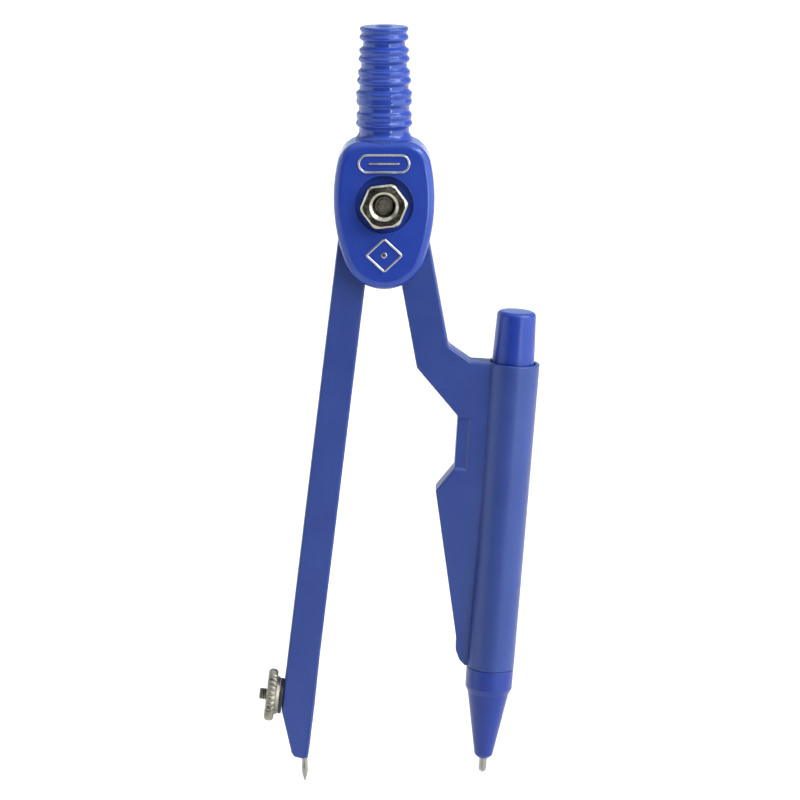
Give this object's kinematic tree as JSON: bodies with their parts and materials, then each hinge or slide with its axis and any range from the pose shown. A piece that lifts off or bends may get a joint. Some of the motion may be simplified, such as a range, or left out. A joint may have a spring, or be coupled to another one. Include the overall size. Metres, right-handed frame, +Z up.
{
  "type": "drawing compass",
  "caption": "School drawing compass: ribbed grip over a forked head, a straight needle leg and a cranked leg with a built-in push-button mechanical pencil.",
  "frame": {"origin": "middle of the ribbed grip, on its axis; the leg pivot is 20.5 mm below it", "axes": "+Z up along the grip, -Y to the front where the pivot nut shows, +X towards the pencil leg"},
  "size_m": [0.0467, 0.0146, 0.1275],
  "materials": {
    "blue_plastic": "satin gloss moulded",
    "button_plastic": "satin gloss moulded",
    "nose_plastic": "satin gloss moulded",
    "silver_foil": "hot stamped foil",
    "screw_steel": "nickel plated",
    "nut_steel": "bright plated",
    "needle_steel": "ground",
    "thumb_nut_nickel": "nickel plated",
    "black_fibre": "matt",
    "tube_plastic": "natural",
    "clutch_brass": "turned",
    "spring_steel": "drawn wire",
    "black_rubber": "matt",
    "graphite": "graphite sheen"
  },
  "bodies": {
    "head": {"handle_yoke": "blue_plastic", "foil_emblems": "silver_foil", "pivot_screw": "screw_steel", "pivot_nut": "nut_steel", "pivot_washer": "screw_steel", "friction_washer": "black_fibre"},
    "needle_leg": {"needle_leg": "blue_plastic", "needle_clamp_bolt": "screw_steel", "needle_clamp_washer": "black_fibre"},
    "needle": {"needle": "needle_steel"},
    "thumb_nut": {"needle_clamp_nut": "thumb_nut_nickel"},
    "pencil_leg": {"pencil_leg": "blue_plastic", "mechanism_sleeve": "tube_plastic", "clutch_spring": "spring_steel", "clutch_ring": "clutch_brass"},
    "nose": {"nose_cone": "nose_plastic", "tip_sleeve": "needle_steel", "lead_retainer": "black_rubber"},
    "clutch_core": {"lead_tube": "tube_plastic", "chuck": "clutch_brass"},
    "button_cap": {"push_button": "button_plastic"},
    "lead": {"lead": "graphite"}
  },
  "joints": [
    {"name": "needle_leg_pivot", "type": "hinge", "parent": "head", "child": "needle_leg", "pos_m": [0, 0, -0.0205], "axis": [0, 1, 0], "range_deg": [-7.4, 45]},
    {"name": "pencil_leg_pivot", "type": "hinge", "parent": "head", "child": "pencil_leg", "pos_m": [0, 0, -0.0205], "axis": [0, -1, 0], "range_deg": [-8.9, 45]},
    {"name": "needle_slide", "type": "slide", "parent": "needle_leg", "child": "needle", "axis": [0, 0, -1], "range_m": [-0.0025, 0.006]},
    {"name": "thumb_nut_turn", "type": "hinge", "parent": "needle_leg", "child": "thumb_nut", "pos_m": [-0.01876, 0, -0.10434], "axis": [-0.9925, 0, 0.1219], "continuous": true},
    {"name": "nose_cone_turn", "type": "hinge", "parent": "pencil_leg", "child": "nose", "pos_m": [0.01751, 0, -0.10188], "axis": [-0.068, 0, -0.9977], "continuous": true},
    {"name": "button_press", "type": "slide", "parent": "pencil_leg", "child": "clutch_core", "axis": [-0.068, 0, -0.9977], "range_m": [0, 0.0025], "stiffness_N_per_m": 800, "springref_m": -0.002, "deforming": ["clutch_spring"]},
    {"name": "button_pull_off", "type": "slide", "parent": "clutch_core", "child": "button_cap", "axis": [0.068, 0, 0.9977], "range_m": [0, 0.013]},
    {"name": "lead_feed", "type": "slide", "parent": "pencil_leg", "child": "lead", "axis": [-0.068, 0, -0.9977], "range_m": [-0.0006, 0.005]}
  ]
}
